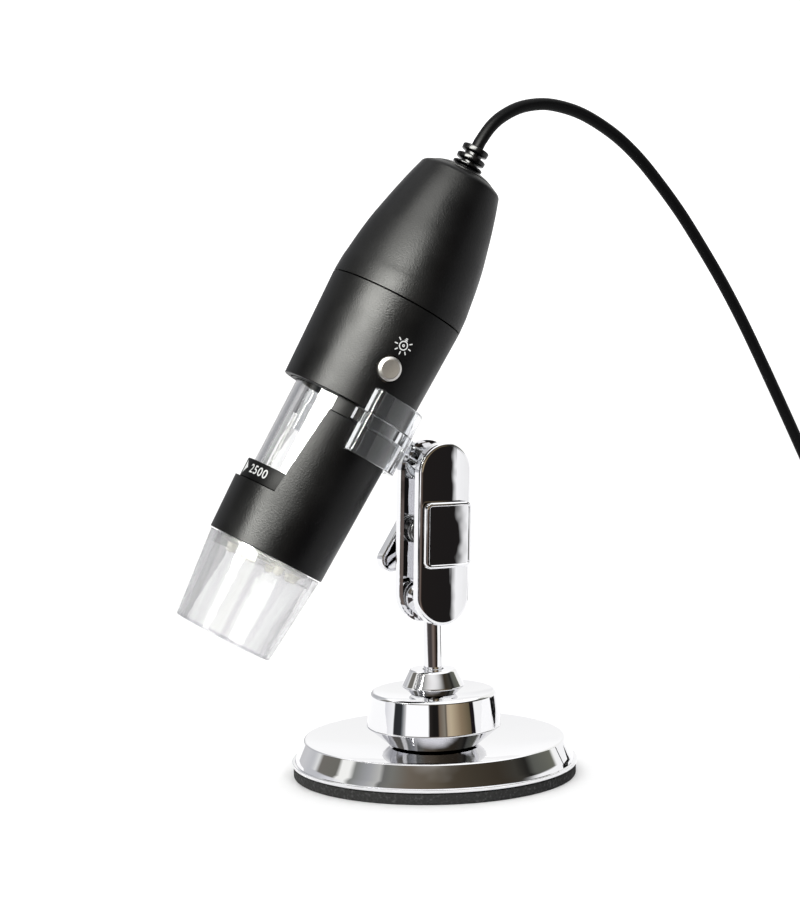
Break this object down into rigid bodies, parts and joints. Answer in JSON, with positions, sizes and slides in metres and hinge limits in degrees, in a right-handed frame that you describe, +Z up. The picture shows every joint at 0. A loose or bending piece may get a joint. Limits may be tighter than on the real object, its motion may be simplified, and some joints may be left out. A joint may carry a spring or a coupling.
{
  "type": "usb digital microscope",
  "caption": "Handheld usb microscope with a clear hood and a focus sleeve, held by a clip and two ball joints over a round weighted base.",
  "frame": {"origin": "centre of the foot pad's underside, on the table", "axes": "+Z up, the clamp plates face -Y and +Y, the microscope hangs on the -X side and its cord runs out to +X"},
  "size_m": [0.3108, 0.0788, 0.1616],
  "materials": {
    "foam": "grainy matte foam",
    "chrome": "mirror",
    "steel": "satin",
    "black_plastic": "satin, finely grained",
    "soft_plastic": "satin",
    "clear_plastic": "clear gloss",
    "silver_button": "satin",
    "circuit_board": "solder mask",
    "chip": "matte",
    "white_plastic": "satin",
    "lens_glass": "polished",
    "ribbon": "satin film"
  },
  "bodies": {
    "base": {"foot_pad": "foam", "base_shell": "chrome", "base_weight": "steel", "base_screw": "steel", "hub": "chrome", "stem_collar": "chrome"},
    "stem": {"ball_stem": "chrome"},
    "clamp": {"clamp_front_plate": "chrome", "clamp_back_plate": "chrome", "screw_cover": "chrome", "clamp_screw": "steel", "clamp_washer": "steel", "clamp_spring": "steel"},
    "wing": {"wing_nut": "chrome"},
    "upper_ball": {"holder_ball": "clear_plastic"},
    "holder": {"holder_clip": "clear_plastic"},
    "microscope": {"tail_shell": "black_plastic", "front_shell": "black_plastic", "tail_plug": "soft_plastic", "strain_relief": "soft_plastic", "holding_ring": "black_plastic", "clear_tube": "clear_plastic", "hood": "clear_plastic", "lamp_board": "circuit_board", "lamp_1": "white_plastic", "lamp_2": "white_plastic", "lamp_3": "white_plastic", "lamp_4": "white_plastic", "lamp_5": "white_plastic", "lamp_6": "white_plastic", "lamp_7": "white_plastic", "lamp_8": "white_plastic", "main_board": "circuit_board", "lamp_switch": "chip", "control_chip": "chip", "cord_socket": "white_plastic", "cord_lead": "soft_plastic", "cord_coil": "soft_plastic", "cord_tail": "soft_plastic", "usb_grip": "soft_plastic", "usb_shell": "steel", "usb_tongue": "white_plastic"},
    "button": {"lamp_button": "silver_button"},
    "focus": {"focus_sleeve": "black_plastic"},
    "carriage": {"index_ring": "black_plastic", "lens_carriage": "black_plastic", "sensor_board": "circuit_board", "image_sensor": "chip", "lens_barrel": "black_plastic", "front_lens": "lens_glass", "sensor_ribbon": "ribbon"}
  },
  "joints": [
    {"name": "stem_turn", "type": "hinge", "parent": "base", "child": "stem", "pos_m": [0, 0, 0.0424], "axis": [0, 0, 1], "continuous": true},
    {"name": "clamp_swing", "type": "hinge", "parent": "stem", "child": "clamp", "pos_m": [0, 0, 0.0424], "axis": [0, 1, 0], "range_deg": [-12, 60]},
    {"name": "wing_nut_turn", "type": "hinge", "parent": "clamp", "child": "wing", "pos_m": [0.00062, 0, 0.05849], "axis": [0, 1, 0], "continuous": true},
    {"name": "holder_swing", "type": "hinge", "parent": "clamp", "child": "upper_ball", "pos_m": [0.00124, 0, 0.07458], "axis": [0, 1, 0], "range_deg": [-20, 60]},
    {"name": "holder_spin", "type": "hinge", "parent": "upper_ball", "child": "holder", "pos_m": [0.00124, 0, 0.07458], "axis": [-0.8746, 0, 0.4848], "range_deg": [-30, 30]},
    {"name": "tube_turn", "type": "hinge", "parent": "holder", "child": "microscope", "pos_m": [-0.0108, -0.00376, 0.11413], "axis": [0.4807, -0.1295, 0.8673], "range_deg": [-90, 90]},
    {"name": "button_press", "type": "slide", "parent": "microscope", "child": "button", "axis": [0.1988, 0.9794, 0.036], "range_m": [0, 0.0006], "stiffness_N_per_m": 300},
    {"name": "focus_turn", "type": "hinge", "parent": "microscope", "child": "focus", "pos_m": [-0.03032, 0.0015, 0.07891], "axis": [0.4807, -0.1295, 0.8673], "range_deg": [0, 270]},
    {"name": "carriage_slide", "type": "slide", "parent": "microscope", "child": "carriage", "axis": [0.4807, -0.1295, 0.8673], "range_m": [0, 0.015]}
  ],
  "couplings": [
    {"joint": "focus_turn", "follows": "carriage_slide", "rad_per_m": 314.16}
  ]
}
